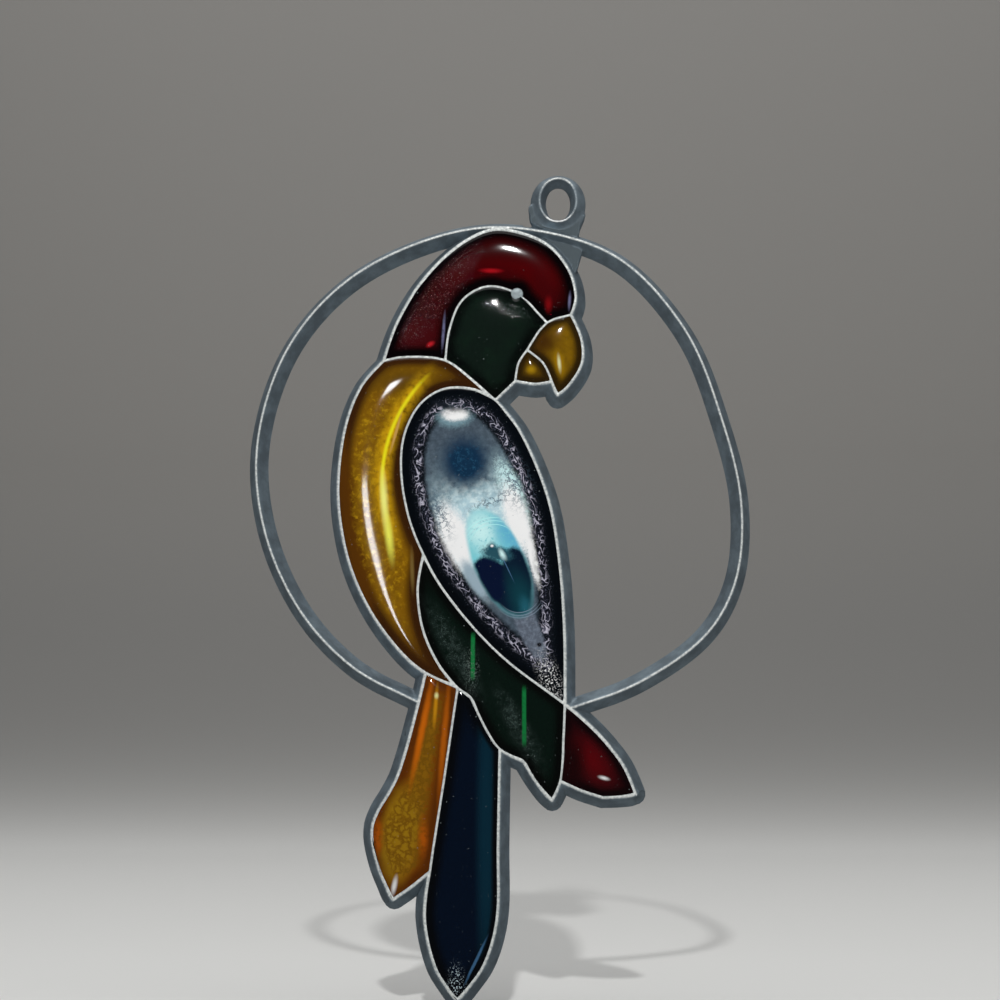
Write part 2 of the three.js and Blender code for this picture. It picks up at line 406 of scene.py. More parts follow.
def bend_to_lines(mesh, lines):
    """Moves each vertex as the nearest crest line moves when its straight steps become curves."""
    every = [slopes_along(line) for line in lines]
    steps = [np.vstack([rows[k] for rows in every]) for k in range(4)]
    starts = np.vstack(lines)
    rows = places_of(mesh)
    length_squared = np.maximum((steps[0] ** 2).sum(axis=1), NEVER_ZERO)
    for first in range(0, len(rows), ROWS_AT_ONCE):
        some = slice(first, first + ROWS_AT_ONCE)
        flat = rows[some][:, [0, 2]]
        offset = flat[:, None, :] - starts[None]
        part = np.clip((offset * steps[0][None]).sum(axis=2) / length_squared, 0, 1)
        gap = np.linalg.norm(offset - part[..., None] * steps[0][None], axis=2)
        which = gap.argmin(axis=1)
        moved = flat + bulge(steps, which, part[np.arange(len(flat)), which])
        rows[some, 0] = moved[:, 0]
        rows[some, 2] = moved[:, 1]
    set_places(mesh, rows)


straight_rows = places_of(casting.data)
bend_to_lines(casting.data, straight_lines)
print("bent by up to", round(np.abs(places_of(casting.data) - straight_rows).max() / MM, 2), "mm")

# %% [markdown]
# Where leads run together the crest forks, and rounding and bending it there folds some small faces over.
# They lie flat in the crest, so they do no harm once they face outwards like their neighbours. Moving
# their points apart one by one would do it too, but nothing would look different.

# %% Turn the folded faces outwards
CREST_DEPTH = 0.08 * MM


def folded_faces(mesh):
    return [face.center.y < CREST + CREST_DEPTH and face.normal.y > 0 for face in mesh.polygons]


folded = folded_faces(casting.data)
edit_chosen(casting, folded, "FACE")
bpy.ops.mesh.flip_normals()
leave_edit()
print("folded faces:", sum(folded), "then", sum(folded_faces(casting.data)))

# %% [markdown]
# The hanging eye is a ring, and the pouring has left it rounder than the leads. Its points are picked out
# by their place above the hoop, divided once more and smoothed like clay under a thumb, and so is the
# band where it joins its foot. Smoothing shrinks a ring. So it is stretched upwards again, its outer side
# is spread and its hole is drawn in, more and more from the hoop upwards.

# %% Soften the hanging eye
EYE_FOOT = -4.0 * MM
EYE_HALF = 9.0 * MM
BAND_FOOT = -7.2 * MM
BAND_TOP = -2.5 * MM
RING_RADII = (3.3 * MM, 7.1 * MM)
RING_SPREAD = (-0.095, 0.09)
STRETCH = 0.055


def near_the_eye(rows, lowest, highest=1.0):
    return (rows[:, 2] > lowest) & (rows[:, 2] < highest) & (np.abs(rows[:, 0]) < EYE_HALF)


edit_chosen(casting, near_the_eye(places_of(casting.data), EYE_FOOT))
bpy.ops.mesh.subdivide(number_cuts=1)
bpy.ops.mesh.vertices_smooth(factor=0.5, repeat=9)
leave_edit()
edit_chosen(casting, near_the_eye(places_of(casting.data), BAND_FOOT, BAND_TOP))
bpy.ops.mesh.vertices_smooth(factor=0.5, repeat=4)
triangulate()
leave_edit()
rows = places_of(casting.data)
share = np.clip((rows[:, 2] - 2 * EYE_FOOT) / -EYE_FOOT, 0, 1) * (np.abs(rows[:, 0]) < EYE_HALF)
grip = share ** 2 * (3 - 2 * share)
spread = np.interp(np.hypot(rows[:, 0], rows[:, 2]), RING_RADII, RING_SPREAD)
rows[:, 0] *= 1 + spread * grip
rows[:, 2] *= 1 + STRETCH * grip
set_places(casting.data, rows)
ring_rows = rows[share > 0.99] / MM
print("eye is", round(np.ptp(ring_rows[:, 0]), 2), "mm wide, its top at", round(ring_rows[:, 2].max(), 2))

# %% [markdown]
# Smooth shading hides the small faces, and the angle keeps the edge where a slope meets the flat back
# crisp. The finished casting then rides on the frame's only body and takes the place of its plain node.

# %% Shade the casting
CASTING_SMOOTH = math.radians(34)

take(casting)
bpy.ops.object.shade_smooth_by_angle(angle=CASTING_SMOOTH)
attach(casting, "root")
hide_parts("frame")
print("casting:", len(casting.data.polygons), "faces")

# %% [markdown]
# ## The resin cells
# Resin is poured level with the leads and its own surface tension pulls it up into a dome. Near a lead
# the surface climbs steeply, and in a wide cell it levels off. The cell could be inflated by a
# simulation, but a formula in the distance to the leads gives the same meniscus every time. A plain
# nearest distance would leave a ridge along the middle, so the distance is averaged over the whole
# outline instead.

# %% The meniscus
RISE = 1.57 * MM
REACH = 3.0 * MM
RIM = CREST + 0.045 * MM
TUCK = 0.28 * MM
RESIN_BACK = BACK - 0.1 * MM
LEAST_DISTANCE = 0.003 * MM


def smooth_distance(points, line):
    """Equals the distance to one straight wall, and eases between walls without a ridge."""
    ahead = np.roll(line, -1, axis=0) - line
    size = np.maximum(np.linalg.norm(ahead, axis=1), NEVER_ZERO)
    ahead = ahead / size[:, None]
    result = np.empty(len(points))
    for first in range(0, len(points), ROWS_AT_ONCE):
        some = slice(first, first + ROWS_AT_ONCE)
        offset = points[some, None, :] - line[None]
        along = (offset * ahead[None]).sum(axis=2)
        away = offset[..., 0] * ahead[None, :, 1] - offset[..., 1] * ahead[None, :, 0]
        away = np.maximum(np.abs(away), LEAST_DISTANCE)
        from_start = along / np.hypot(along, away)
        from_end = (along - size) / np.hypot(along - size, away)
        pull = ((from_start - from_end) / away ** 2).sum(axis=1)
        result[some] = np.sqrt(2 / np.maximum(pull, NEVER_ZERO))
    return result


def widened(line, by):
    """The line moved sideways into the metal, which lies on its left."""
    ahead = np.roll(line, -1, axis=0) - line
    ahead /= np.linalg.norm(ahead, axis=1)[:, None]
    along = ahead + np.roll(ahead, 1, axis=0)
    along /= np.linalg.norm(along, axis=1)[:, None]
    return line + by * np.column_stack([-along[:, 1], along[:, 0]])


# %% [markdown]
# Each crest line is matched to the resin node whose box it fits round. The cell is then modelled by hand:
# a fine grid the size of the cell, thickened into a slab, and cut to the outline with a boolean.

# %% Match the lines to the cells
RESINS = [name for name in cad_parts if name.endswith("_resin")]


def line_round(node):
    low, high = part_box(node)
    want = np.array([low.x, low.z, high.x, high.z])

    def misfit(line):
        return np.abs(np.concatenate([line.min(axis=0), line.max(axis=0)]) - want).max()

    best = min(straight_lines, key=misfit)
    return best, misfit(best)


for name in RESINS:
    print(name, "fits its line within", round(line_round(name)[1] / MM, 2), "mm")

# %% The outline of a cell
SPARE = 2 * MM


def face_outwards():
    bpy.ops.mesh.select_all(action="SELECT")
    bpy.ops.mesh.normals_make_consistent(inside=False)
    leave_edit()


def outline_prism(line, name):
    """A closed prism of the outline, from in front of the dome to the resin's back."""
    bpy.ops.mesh.primitive_circle_add(vertices=len(line), radius=0.01, fill_type="NGON")
    prism = bpy.context.object
    prism.name = name + "_outline"
    rows = np.column_stack([line[:, 0], np.full(len(line), RESIN_BACK), line[:, 1]])
    set_places(prism.data, rows)
    edit(prism, "FACE")
    bpy.ops.mesh.select_all(action="SELECT")
    depth = CREST - RESIN_BACK - 2 * SPARE
    bpy.ops.mesh.extrude_region_move(TRANSFORM_OT_translate={"value": (0, depth, 0)})
    face_outwards()
    return prism


# %% [markdown]
# The grid has small even squares, so the dome bends smoothly, and the boolean trims it just inside the
# metal. Only then are the front points raised. Each point also keeps its distance from the leads as an
# attribute, and the finishes use that to darken a border or to lay a band along the leads.

# %% Model one cell
GRID = 0.55 * MM
OUTLINE_STEP = 0.5 * MM
RESIN_SMOOTH = math.radians(40)


def apply_place(piece):
    take(piece)
    bpy.ops.object.transform_apply(location=True, rotation=True, scale=True)


def dome_cell(cell, rim):
    """Raises the front by the meniscus, and keeps each point's distance from the leads for the finish."""
    rows = places_of(cell.data)
    front = rows[:, 1] < RIM + ON_PLANE
    depth = smooth_distance(rows[:, [0, 2]], rim)
    rows[front, 1] = RIM - RISE * (1 - np.exp(-depth[front] / REACH))
    set_places(cell.data, rows)
    store = cell.data.attributes.new("from_lead", "FLOAT", "POINT")
    store.data.foreach_set("value", (depth / MM).astype(np.float32))
    take(cell)
    bpy.ops.object.shade_smooth_by_angle(angle=RESIN_SMOOTH)


def model_cell(node):
    line = line_round(node)[0]
    rim = widened(flowing(line, OUTLINE_STEP), TUCK)
    low = rim.min(axis=0) - GRID
    high = rim.max(axis=0) + GRID
    middle = (low + high) / 2
    width, height = high - low
    bpy.ops.mesh.primitive_grid_add(
        x_subdivisions=math.ceil(width / GRID), y_subdivisions=math.ceil(height / GRID), size=1,
        location=(middle[0], RIM, middle[1]), rotation=(math.radians(90), 0, 0))
    cell = bpy.context.object
    cell.name = node.replace("_resin", "_cell")
    cell.data.name = cell.name
    cell.scale = (width, height, 1)
    apply_place(cell)
    edit(cell, "FACE")
    bpy.ops.mesh.select_all(action="SELECT")
    bpy.ops.mesh.extrude_region_move(TRANSFORM_OT_translate={"value": (0, BACK + SPARE - RIM, 0)})
    face_outwards()
    prism = outline_prism(rim, cell.name)
    apply_modifier(cell, "BOOLEAN", operation="INTERSECT", object=prism, solver="EXACT")
    bpy.data.objects.remove(prism)
    merge_and_triangulate(cell, ON_PLANE)
    dome_cell(cell, rim)
    return cell


# %% [markdown]
# All ten cells are made by the same steps. They could be one piece, but each is its own pour with its own
# colour, so each keeps its own mesh, rides on the one body and takes the place of its plain node.

# %% All the cells
cells = {}
for name in RESINS:
    cell = model_cell(name)
    cells[name] = cell
    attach(cell, "root")
    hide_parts(name)
    front = places_of(cell.data)[:, 1].min() / MM
    print(cell.name, len(cell.data.polygons), "faces, front at", round(front, 2), "mm")

# %% [markdown]
# ## Finishes
# Nodes are the paint pots of this lesson, and most of them do no more than sums. Small helpers keep the
# recipes short: one adds a node and wires or sets its inputs, and the others calculate with numbers or
# with places.

# %% Nodes that calculate
def add(tree, kind, inputs=None, **settings):
    node = tree.nodes.new(kind)
    for name, value in settings.items():
        setattr(node, name, value)
    for socket, value in (inputs or {}).items():
        if isinstance(value, bpy.types.NodeSocket):
            tree.links.new(value, node.inputs[socket])
        else:
            node.inputs[socket].default_value = value
    return node


def calc(tree, operation, *values):
    return add(tree, "ShaderNodeMath", dict(enumerate(values)), operation=operation).outputs[0]


def vector(tree, operation, first, second):
    inputs = {0: first, "Scale" if operation == "SCALE" else 1: second}
    return add(tree, "ShaderNodeVectorMath", inputs, operation=operation).outputs[0]


def axes_of(tree, place):
    return add(tree, "ShaderNodeSeparateXYZ", {0: place}).outputs


# %% [markdown]
# A soft mask comes from two things: a noise, and a smooth step that turns any number into a share between
# none and all. A colour ramp could do the second, but two plain limits are easier to read.

# %% Noise and smooth steps
def noise(tree, place, fineness, detail, output="Fac", **others):
    inputs = {"Vector": place, "Scale": fineness, "Detail": detail, **others}
    return add(tree, "ShaderNodeTexNoise", inputs).outputs[output]


def eased(tree, value, start, end):
    """Zero before the start, one after the end, and a smooth step between them."""
    inputs = {"Value": value, 1: start, 2: end}
    return add(tree, "ShaderNodeMapRange", inputs, interpolation_type="SMOOTHSTEP").outputs[0]


def fading(tree, value, start, end):
    """One before the start, zero after the end."""
    return calc(tree, "SUBTRACT", 1.0, eased(tree, value, start, end))


# %% [markdown]
# An effect that several finishes share is a node group. It is built once, has named inputs, and puts out
# only masks. A blank group is made with its sockets, and place_group sets it into a material with values
# of its own.

# %% Making and placing a group
def blank_group(name, **inputs):
    """A group with a place, the named inputs, and one output for its mask."""
    group = bpy.data.node_groups.new(name, "ShaderNodeTree")
    for label, value in {"place": (0, 0, 0), **inputs}.items():
        kind = "NodeSocketVector" if isinstance(value, tuple) else "NodeSocketFloat"
        socket = group.interface.new_socket(label, in_out="INPUT", socket_type=kind)
        socket.default_value = value
    group.interface.new_socket("mask", in_out="OUTPUT", socket_type="NodeSocketFloat")
    return group, group.nodes.new("NodeGroupInput").outputs


def put_out(group, mask):
    group.links.new(mask, group.nodes.new("NodeGroupOutput").inputs["mask"])
    print("group", group.name, "uses", len(group.nodes), "nodes")


def place_group(tree, group, **values):
    return add(tree, "ShaderNodeGroup", values, node_tree=group).outputs["mask"]


# %% [markdown]
# The soft spot is an oval cloud in the resin: a centre, two half sizes, a turn, and an edge that can be
# soft or ragged. Clouds, glows and dark pools are all soft spots. Sizes are in millimetres on the face of
# the object.

# %% Group: soft spot
soft_spot, given = blank_group("soft_spot", centre=(0, 0, 0), half_width=1.0, half_height=1.0, turn=0.0,
                               softness=0.5, ragged=0.0)
wander = vector(soft_spot, "SUBTRACT", noise(soft_spot, given["place"], 0.5, 4.0, "Color"), (0.5, 0.5, 0.5))
strayed = vector(soft_spot, "ADD", given["place"], vector(soft_spot, "SCALE", wander, given["ragged"]))
offset = vector(soft_spot, "SUBTRACT", strayed, given["centre"])
turned = add(soft_spot, "ShaderNodeVectorRotate", {"Vector": offset, "Angle": given["turn"]},
             rotation_type="Y_AXIS")
across, _, upward = axes_of(soft_spot, turned.outputs[0])
across = calc(soft_spot, "DIVIDE", across, given["half_width"])
upward = calc(soft_spot, "DIVIDE", upward, given["half_height"])
radius = calc(soft_spot, "SQRT", calc(soft_spot, "ADD", calc(soft_spot, "MULTIPLY", across, across),
                                      calc(soft_spot, "MULTIPLY", upward, upward)))
inner = calc(soft_spot, "SUBTRACT", 1.0, given["softness"])
outer = calc(soft_spot, "ADD", 1.0, given["softness"])
put_out(soft_spot, fading(soft_spot, radius, inner, outer))

# %% [markdown]
# The band follows the leads: it is strongest at one distance from the metal and fades to both sides.
# Resin is never quite even, so the distance is unsettled by a slow noise first.

# %% Group: band along the leads
lead_band, given = blank_group("lead_band", from_lead=0.0, middle=3.0, half_width=1.0, uneven=0.5)
slow = calc(lead_band, "SUBTRACT", noise(lead_band, given["place"], 0.25, 3.0), 0.5)
sway = calc(lead_band, "MULTIPLY", calc(lead_band, "MULTIPLY", slow, given["uneven"]), 2.0)
unsettled = calc(lead_band, "ADD", given["from_lead"], sway)
stand_off = calc(lead_band, "ABSOLUTE", calc(lead_band, "SUBTRACT", unsettled, given["middle"]))
put_out(lead_band, fading(lead_band, stand_off, 0.0, given["half_width"]))

# %% [markdown]
# The ring is the bright line that a dome focuses. It keeps one distance from a centre, so a piece of it
# is an arc. Multiplied by a soft spot it ends where the spot ends.

# %% Group: ring
ring, given = blank_group("ring", centre=(0, 0, 0), radius=10.0, half_width=1.0)
on_face = vector(ring, "MULTIPLY", vector(ring, "SUBTRACT", given["place"], given["centre"]), (1, 0, 1))
length = add(ring, "ShaderNodeVectorMath", {0: on_face}, operation="LENGTH").outputs["Value"]
off_ring = calc(ring, "ABSOLUTE", calc(ring, "SUBTRACT", length, given["radius"]))
put_out(ring, fading(ring, off_ring, 0.0, given["half_width"]))

# %% [markdown]
# Flecks are fine specks, as where resin has caught dust or cured with a frosty skin. A fine noise is cut
# off near its top, so only its peaks are left.

# %% Group: flecks
flecks, given = blank_group("flecks", fineness=3.0, amount=0.4)
fine = noise(flecks, given["place"], given["fineness"], 2.0, Roughness=0.6)
floor_level = calc(flecks, "SUBTRACT", 0.85, calc(flecks, "MULTIPLY", given["amount"], 0.5))
put_out(flecks, eased(flecks, fine, floor_level, calc(flecks, "ADD", floor_level, 0.12)))

# %% [markdown]
# Crinkles are the wormy net of ridges that a skin on thick resin shrinks into. They are the borders of
# Voronoi cells whose places a noise has stirred.

# %% Group: crinkles
crinkles, given = blank_group("crinkles", fineness=1.0, line=0.1, stir=1.0)
stir = vector(crinkles, "SUBTRACT", noise(crinkles, given["place"], 1.1, 3.0, "Color"), (0.5, 0.5, 0.5))
moved = vector(crinkles, "ADD", given["place"], vector(crinkles, "SCALE", stir, given["stir"]))
net = add(crinkles, "ShaderNodeTexVoronoi", {"Vector": moved, "Scale": given["fineness"]},
          feature="DISTANCE_TO_EDGE")
put_out(crinkles, fading(crinkles, net.outputs["Distance"], 0.0, given["line"]))

# %% [markdown]
# Wrinkles are looser than crinkles: bright worms with dark gaps, that run along the leads. They are the
# contour lines of a noise, as a map draws hills, and the distance from the lead is part of the place,
# which stretches them along it.

# %% Group: wrinkles
wrinkles, given = blank_group("wrinkles", from_lead=0.0, fineness=0.6, line=0.2, stretch=1.5, turns=3.5)
across, _, upward = axes_of(wrinkles, given["place"])
squeezed = calc(wrinkles, "MULTIPLY", given["from_lead"], given["stretch"])
laid = add(wrinkles, "ShaderNodeCombineXYZ", {"X": across, "Y": squeezed, "Z": upward}).outputs[0]
twisted = noise(wrinkles, laid, given["fineness"], 1.5, Roughness=0.5, Distortion=0.6)
levels = calc(wrinkles, "PINGPONG", calc(wrinkles, "MULTIPLY", twisted, given["turns"]), 0.5)
put_out(wrinkles, fading(wrinkles, levels, 0.0, given["line"]))

# %% [markdown]
# Frosting eats into the edge of another mask, so a soft white cloud ends in grains and not in a blur.

# %% Group: frosting
frosting, given = blank_group("frosting", shape=0.0, fineness=1.5, bite=1.0)
coarse = noise(frosting, given["place"], given["fineness"], 6.0, Roughness=0.7)
grains = calc(frosting, "SUBTRACT", coarse, 0.5)
bitten = calc(frosting, "ADD", given["shape"], calc(frosting, "MULTIPLY", grains, given["bite"]))
put_out(frosting, eased(frosting, bitten, 0.2, 0.8))

# %% [markdown]
# The bar is an upright streak with straight sides, used for painted streaks of light in the resin.

# %% Group: bar
bar, given = blank_group("bar", centre=(0, 0, 0), half_width=0.5, half_height=5.0)
across, _, upward = axes_of(bar, vector(bar, "SUBTRACT", given["place"], given["centre"]))
beside = calc(bar, "DIVIDE", calc(bar, "ABSOLUTE", across), given["half_width"])
beyond = calc(bar, "DIVIDE", calc(bar, "ABSOLUTE", upward), given["half_height"])
put_out(bar, calc(bar, "MULTIPLY", fading(bar, beside, 0.5, 1.2), fading(bar, beyond, 0.75, 1.1)))

# %% [markdown]
# Clouding is the soft unevenness of the colour itself. A broad noise, cut between two levels, gives it.

# %% Group: clouding
clouding, given = blank_group("clouding", fineness=0.3, low=0.35, high=0.65)
cloud = noise(clouding, given["place"], given["fineness"], 5.0, Roughness=0.6)
put_out(clouding, eased(clouding, cloud, given["low"], given["high"]))

# %% [markdown]
# A colour is written as six hex digits, as on a paint card, and is laid over another through a mask, like
# one glaze over the next. Patterns are placed in millimetres on the object itself, so they keep their
# places when its mesh gets finer.

# %% Colours and places
def over(tree, mask, under, upper):
    """The upper colour laid over the one below, as thick as the mask says."""
    mixer = add(tree, "ShaderNodeMix", {0: mask, 6: under, 7: upper}, data_type="RGBA")
    return mixer.outputs[2]


def place_in_mm(tree):
    coordinates = add(tree, "ShaderNodeTexCoord").outputs["Object"]
    return vector(tree, "SCALE", coordinates, 1000)


def tint(code, strength=2.0):
    """A colour written as six hex digits, as a node wants it. The studio's light halves it again."""
    shares = [int(code[i:i + 2], 16) / 255 for i in (0, 2, 4)]
    linear = [share / 12.92 if share <= 0.04045 else ((share + 0.055) / 1.055) ** 2.4 for share in shares]
    return (*[min(value * strength, 1) for value in linear], 1)


print("a middle grey as a node wants it:", [round(value, 3) for value in tint("808080")])

# %% [markdown]
# Every resin starts the same way: a glossy shader whose colour is painted darker towards the leads, as
# painted shade for the shadowed metal slopes behind the resin there. Then each cell lays its own clouds,
# flecks, painted glows and painted glints over that.

# %% A resin to start from
GLOSS = 0.07
RESIN_IOR = 1.5
BUMP_HEIGHT = 0.08 * MM


class Resin:
    """A resin finish being mixed: its node tree, the place in millimetres, and the colour so far."""

    def __init__(self, name, deep, body, border=2.0, clear=0.3, shine=0.3):
        self.material = bpy.data.materials.new(name)
        self.material.use_nodes = True
        self.tree = self.material.node_tree
        self.shader = self.tree.nodes["Principled BSDF"]
        self.shader.inputs["Roughness"].default_value = GLOSS
        self.shader.inputs["Transmission Weight"].default_value = clear
        self.shader.inputs["IOR"].default_value = RESIN_IOR
        self.shader.inputs["Specular IOR Level"].default_value = shine
        self.shader.inputs["Metallic"].default_value = 0.0
        self.place = place_in_mm(self.tree)
        self.from_lead = add(self.tree, "ShaderNodeAttribute", attribute_name="from_lead").outputs["Fac"]
        # The deep colour by the leads is painted shade for the shadowed metal behind the resin.
        inside = eased(self.tree, self.from_lead, border * 0.35, border * 1.4)
        self.colour = over(self.tree, inside, tint(deep), tint(body))
        self.height = None

    def mask(self, group, **values):
        return place_group(self.tree, group, place=self.place, **values)

    def spot(self, x, z, half_width, half_height, turn=0, softness=0.5, ragged=0.0):
        return self.mask(soft_spot, centre=(x, 0, z), half_width=half_width, half_height=half_height,
                         turn=math.radians(-turn), softness=softness, ragged=ragged)

    def arc(self, x, z, radius, half_width):
        return self.mask(ring, centre=(x, 0, z), radius=radius, half_width=half_width)

    def bar(self, x, z, half_width, half_height):
        return self.mask(bar, centre=(x, 0, z), half_width=half_width, half_height=half_height)

    def within(self, start, end):
        return eased(self.tree, self.from_lead, start, end)

    def band(self, middle, half_width, uneven):
        return self.mask(lead_band, from_lead=self.from_lead, middle=middle, half_width=half_width,
                         uneven=uneven)

    def flecks(self, fineness, amount):
        return self.mask(flecks, fineness=fineness, amount=amount)

    def crinkles(self, fineness, line, stir):
        return self.mask(crinkles, fineness=fineness, line=line, stir=stir)

    def wrinkles(self, fineness, line, stretch, turns):
        return self.mask(wrinkles, from_lead=self.from_lead, fineness=fineness, line=line,
                         stretch=stretch, turns=turns)

    def frosted(self, shape, fineness, bite):
        return self.mask(frosting, shape=shape, fineness=fineness, bite=bite)

    def clouds(self, fineness, low, high):
        return self.mask(clouding, fineness=fineness, low=low, high=high)

    def both(self, *masks):
        """The place where all the masks meet."""
        whole = masks[0]
        for mask in masks[1:]:
            whole = calc(self.tree, "MULTIPLY", whole, mask)
        return whole

    def paint(self, code, *masks, strength=2.0):
        self.colour = over(self.tree, self.both(*masks), self.colour, tint(code, strength))

    def raise_by(self, share, *masks):
        part = calc(self.tree, "MULTIPLY", self.both(*masks), share)
        self.height = part if self.height is None else calc(self.tree, "ADD", self.height, part)

    def finish(self, cell, back):
        """Adds stray specks, a plain back and the bumps, and gives the material to its cell."""
        self.paint("6c7474", self.flecks(1.3, 0.3), strength=1.6)
        behind = eased(self.tree, axes_of(self.tree, self.place)["Y"], 0.2, 0.6)
        self.paint(back, behind)
        self.paint(back, behind, self.clouds(0.25, 0.4, 0.7), strength=1.5)
        self.tree.links.new(self.colour, self.shader.inputs["Base Color"])
        if self.height is not None:
            bump = add(self.tree, "ShaderNodeBump",
                       {"Height": self.height, "Distance": BUMP_HEIGHT, "Strength": 0.6})
            self.tree.links.new(bump.outputs[0], self.shader.inputs["Normal"])
        cell.data.materials.clear()
        cell.data.materials.append(self.material)
        print(self.material.name, "uses", len(self.tree.nodes), "nodes")


# %% [markdown]
# ### Crown
# The crown is a deep red. Its edges are painted almost black as shade, painted glows of focused light lie
# along its inner side, and a silvery dust of specks runs along its outer left side. The dust follows the
# lead, so it is a band, and a soft spot keeps it to that side. Two thin lavender slivers beside the leads
# are painted reflections.

# %% Crown finish
crown = Resin("crown_red", "030001", "2a0102", border=2.6, clear=0.25, shine=0.11)
# Painted glows: the red light that the dome focuses, from broad clouds to small bright cores.
crown.paint("3c0002", crown.spot(-12, -20.5, 14, 4.6, 4, 0.6), crown.within(1.8, 4.0))
crown.paint("300002", crown.spot(-18, -20.0, 7, 2.2, 4, 0.7), crown.within(1.6, 3.6))
crown.paint("900c14", crown.spot(-17.0, -19.0, 2.0, 0.45, 2, 1.0))
crown.paint("340103", crown.spot(-3.4, -25.0, 2.0, 5.5, -25, 0.7), crown.within(1.6, 3.6))
crown.paint("64060a", crown.spot(-2.6, -28.0, 0.7, 1.5, 0, 1.0))
crown.paint("340508", crown.spot(-35.5, -36.0, 5.5, 4.0, 0, 0.7), crown.within(1.2, 3.0))
crown.paint("a01820", crown.spot(-32.2, -38.0, 0.8, 0.45, -30, 1.0))
outer_side = crown.both(crown.band(3.2, 2.6, 0.8), crown.spot(-34, -24, 7, 19, 35, 0.4))
crown.paint("380c10", outer_side, crown.clouds(0.8, 0.3, 0.9), strength=1.6)
crown.paint("7a5c60", outer_side, crown.flecks(3.4, 0.48), strength=1.6)
crown.raise_by(1.0, outer_side, crown.flecks(3.4, 0.6))
# Painted reflections: two thin lavender slivers beside the leads.
crown.paint("5c5c78", crown.spot(-29.0, -34.6, 0.3, 3.6, 4, 0.8), crown.clouds(0.9, 0.2, 0.5))
crown.paint("5c5c78", crown.spot(2.7, -27.0, 0.3, 1.8, 4, 0.8), crown.clouds(0.9, 0.2, 0.5))
crown.finish(cells["crown_resin"], "200203")

# %% [markdown]
# ### Face
# The face is a green so deep that it reads as black. Its dome is smooth, so one glint tells that it is
# there, and a frosty breath of specks lies right of that glint.

# %% Face finish
face = Resin("face_green", "010302", "08120d", border=2.2, clear=0.2)
face.paint("09170f", face.clouds(0.25, 0.4, 0.8))
frost = face.spot(-12.6, -29.2, 4.4, 1.2, 18, 0.8, 1.0)
face.paint("404a4a", frost, face.flecks(3.4, 0.56), strength=1.6)
face.raise_by(1.0, frost, face.flecks(3.4, 0.6))
face.finish(cells["face_resin"], "08120d")

# %% [markdown]
# ### Beak
# Both halves of the beak are a golden olive, brown towards the face, with painted glows where the resin is
# thick and a pale painted highlight streak.
# They are one finish in two cells, so a loop mixes it twice.

# %% Beak finish
for node in ("upper_beak_resin", "lower_beak_resin"):
    beak = Resin(node.replace("_resin", "_gold"), "241702", "5c4204", border=1.8)
    beak.paint("745606", beak.clouds(0.35, 0.3, 0.7), beak.within(1.2, 3))
    beak.paint("6a4c04", beak.clouds(0.9, 0.45, 0.7), beak.within(1.2, 3))
    beak.paint("3a2203", beak.spot(-3.8, -37.6, 3.0, 3.0, 20, 0.9, 0.8), beak.within(0.3, 1.2))
    # Painted glows round a pale painted highlight streak, and a painted glow on the lower half.
    beak.paint("8c6a08", beak.spot(0.0, -43.3, 0.9, 2.4, -10, 1.0))
    beak.paint("f0d890", beak.spot(0.0, -43.3, 0.35, 1.7, -6, 0.9))
    beak.paint("8c6c08", beak.spot(-7.0, -44.8, 0.9, 0.8, 0, 1.0))
    beak.finish(cells[node], "5c4204")

# %% [markdown]
# ### Breast
# The breast is golden and mottled like honey. A brown border follows the leads and is painted darker still
# as shade. The bright yellow line beside the wing, which the thick resin focuses, is painted light. That
# line is an arc of a large ring, cut off by soft spots at both ends.

# %% Breast finish
breast = Resin("breast_gold", "2a1402", "664604", border=2.8)
breast.paint("422402", breast.spot(-51.0, -84, 2.8, 30, -10, 0.6, 1.2))
breast.paint("6e5204", breast.clouds(0.45, 0.35, 0.65), breast.within(2.6, 4.6))
breast.paint("86660a", breast.clouds(0.7, 0.5, 0.6), breast.within(2.2, 4.2))
breast.paint("5a3e04", breast.clouds(0.9, 0.52, 0.7), breast.within(1.8, 3.2))
breast.paint("5c3e04", breast.crinkles(0.42, 0.24, 1.8), breast.clouds(0.4, 0.3, 0.6),
             breast.within(2.2, 4))
breast.paint("4c3404", breast.spot(-38.0, -47.6, 9.5, 3.2, 0, 0.8, 0.8), breast.within(0.8, 2.2))
# Painted light: the bright yellow line that the thick resin focuses.
glow = breast.both(breast.arc(-7.1, -72.4, 36.7, 3.2), breast.spot(-41, -66, 7, 22, 12, 0.45, 1.5))
breast.paint("a8820a", glow, breast.clouds(0.6, 0.2, 0.6))
breast.paint("e8b414", breast.arc(-7.1, -72.4, 36.7, 0.75), breast.spot(-40.5, -64, 6, 19, 12, 0.4, 1.5))
breast.paint("f0c848", breast.spot(-42.0, -86.4, 0.75, 4.8, -8, 1.0))
breast.paint("ffe468", breast.spot(-43.3, -77.4, 0.7, 5.0, -4, 1.0))
# Painted reflections: two thin brownish lines near the leads.
breast.paint("5c4a24", breast.spot(-36.2, -95.0, 0.4, 4.2, -2, 0.8))
breast.paint("a07c40", breast.spot(-40.6, -60.6, 0.3, 4.4, 15, 0.6))
breast.finish(cells["breast_resin"], "664604")

# %% [markdown]
# ### Wing
# The wing is the showpiece: a navy rim, a crinkled lavender band inside it, and a milky heart with a blue
# pool and a dark patch. A painted picture would be quicker, but clouds made of soft spots and noise stay
# sharp at any distance. The milk comes first: greys, and whites on both sides of the pool's place.

